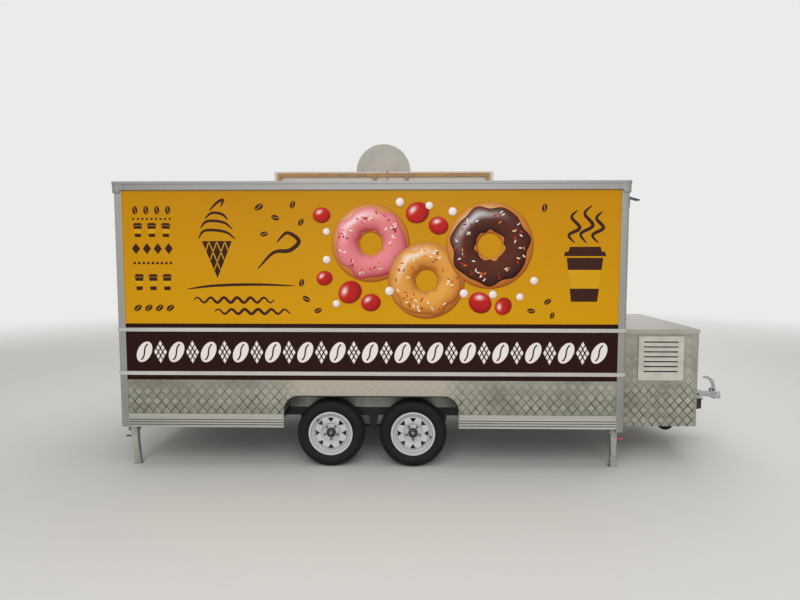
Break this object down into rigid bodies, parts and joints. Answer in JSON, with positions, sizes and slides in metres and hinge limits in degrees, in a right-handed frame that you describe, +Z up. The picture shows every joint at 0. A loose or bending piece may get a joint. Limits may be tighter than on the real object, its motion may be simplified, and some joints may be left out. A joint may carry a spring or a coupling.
{
  "type": "food trailer",
  "caption": "Tandem-axle food trailer with a panelled cabin, serving hatch and shelf, rear door, louvred front box, A-frame drawbar, corner legs and a roof sign.",
  "frame": {"origin": "on the ground under the middle of the overall box", "axes": "+X forwards to the hitch, -Y the plain side with no hatch, +Y the serving side, +Z up"},
  "size_m": [5.784, 2.1035, 3.176],
  "materials": {
    "galvanised_steel": "dull zinc",
    "black_steel": "satin black paint",
    "tyre_rubber": "smooth dull rubber",
    "white_rim": "gloss white paint, lightly soiled",
    "plywood": "coated plywood",
    "yellow_panel": "printed film on a smooth panel",
    "brown_panel": "printed film on a smooth panel",
    "grey_aluminium": "matt anodised",
    "white_band": "smooth white moulding",
    "arch_sheet": "dull sheet, dusty",
    "gold_tube": "gold yellow paint",
    "sign_sheet": "beige painted sheet",
    "red_lens": "red lens",
    "blue_plastic": "blue moulded plastic"
  },
  "bodies": {
    "trailer": {"axles": "black_steel", "box_louvres": "white_band", "corner_posts": "grey_aluminium", "coupling_head": "galvanised_steel", "coupling_lever": "galvanised_steel", "cross_members": "black_steel", "drawbar_beams": "black_steel", "drawbar_plates": "black_steel", "equalisers": "black_steel", "far_lower_panel": "brown_panel", "far_upper_panel": "yellow_panel", "floor": "plywood", "front_box": "grey_aluminium", "front_wall": "yellow_panel", "jockey_tube": "galvanised_steel", "leaf_springs": "black_steel", "leg_brackets": "galvanised_steel", "main_rails": "black_steel", "near_lower_panel": "brown_panel", "near_upper_panel": "yellow_panel", "power_inlet": "blue_plastic", "rear_wall": "yellow_panel", "roof_panel": "yellow_panel", "roof_trims": "grey_aluminium", "side_bands": "white_band", "sign_board": "sign_sheet", "sign_frame": "gold_tube", "sills": "grey_aluminium", "spring_hangers": "black_steel", "tail_lamps": "red_lens", "wheel_boxes": "arch_sheet"},
    "wheel_rear_near": {"tyre_rear_near": "tyre_rubber", "wheel_rear_near": "white_rim"},
    "wheel_rear_far": {"tyre_rear_far": "tyre_rubber", "wheel_rear_far": "white_rim"},
    "wheel_front_near": {"tyre_front_near": "tyre_rubber", "wheel_front_near": "white_rim"},
    "wheel_front_far": {"tyre_front_far": "tyre_rubber", "wheel_front_far": "white_rim"},
    "jockey_fork": {"jockey_fork": "galvanised_steel"},
    "jockey_wheel": {"jockey_wheel": "tyre_rubber"},
    "leg_rear_near": {"leg_rear_near": "galvanised_steel"},
    "leg_rear_far": {"leg_rear_far": "galvanised_steel"},
    "leg_front_near": {"leg_front_near": "galvanised_steel"},
    "leg_front_far": {"leg_front_far": "galvanised_steel"},
    "serving_hatch": {"serving_hatch": "yellow_panel"},
    "counter_shelf": {"counter_shelf": "grey_aluminium"},
    "entry_door": {"entry_door": "yellow_panel"},
    "front_box_lid": {"front_box_lid": "grey_aluminium"}
  },
  "joints": [
    {"name": "wheel_rear_near_spin", "type": "hinge", "parent": "trailer", "child": "wheel_rear_near", "pos_m": [-1.014, -0.903, 0.3], "axis": [0, 1, 0], "continuous": true},
    {"name": "wheel_rear_far_spin", "type": "hinge", "parent": "trailer", "child": "wheel_rear_far", "pos_m": [-1.014, 0.903, 0.3], "axis": [0, 1, 0], "continuous": true},
    {"name": "wheel_front_near_spin", "type": "hinge", "parent": "trailer", "child": "wheel_front_near", "pos_m": [-0.283, -0.903, 0.3], "axis": [0, 1, 0], "continuous": true},
    {"name": "wheel_front_far_spin", "type": "hinge", "parent": "trailer", "child": "wheel_front_far", "pos_m": [-0.283, 0.903, 0.3], "axis": [0, 1, 0], "continuous": true},
    {"name": "jockey_swivel", "type": "hinge", "parent": "trailer", "child": "jockey_fork", "pos_m": [2.367, 0, 0.26], "axis": [0, 0, 1], "continuous": true},
    {"name": "jockey_wheel_spin", "type": "hinge", "parent": "jockey_fork", "child": "jockey_wheel", "pos_m": [2.337, 0, 0.16], "axis": [0, 1, 0], "continuous": true},
    {"name": "leg_rear_near_hinge", "type": "hinge", "parent": "trailer", "child": "leg_rear_near", "pos_m": [-2.798, -0.91, 0.33], "axis": [1, 0, 0], "range_deg": [0, 90]},
    {"name": "leg_rear_far_hinge", "type": "hinge", "parent": "trailer", "child": "leg_rear_far", "pos_m": [-2.798, 0.91, 0.33], "axis": [-1, 0, 0], "range_deg": [0, 90]},
    {"name": "leg_front_near_hinge", "type": "hinge", "parent": "trailer", "child": "leg_front_near", "pos_m": [1.496, -0.91, 0.33], "axis": [1, 0, 0], "range_deg": [0, 90]},
    {"name": "leg_front_far_hinge", "type": "hinge", "parent": "trailer", "child": "leg_front_far", "pos_m": [1.496, 0.91, 0.33], "axis": [-1, 0, 0], "range_deg": [0, 90]},
    {"name": "serving_hatch_hinge", "type": "hinge", "parent": "trailer", "child": "serving_hatch", "pos_m": [-0.658, 1.0275, 2.361], "axis": [1, 0, 0], "range_deg": [0, 95]},
    {"name": "counter_shelf_hinge", "type": "hinge", "parent": "trailer", "child": "counter_shelf", "pos_m": [-0.658, 1.0415, 1.231], "axis": [1, 0, 0], "range_deg": [0, 90]},
    {"name": "entry_door_hinge", "type": "hinge", "parent": "trailer", "child": "entry_door", "pos_m": [-2.8705, 0.395, 1.46], "axis": [0, 0, -1], "range_deg": [0, 110]},
    {"name": "front_box_lid_hinge", "type": "hinge", "parent": "trailer", "child": "front_box_lid", "pos_m": [1.5545, 0, 1.205], "axis": [0, -1, 0], "range_deg": [0, 85]}
  ]
}
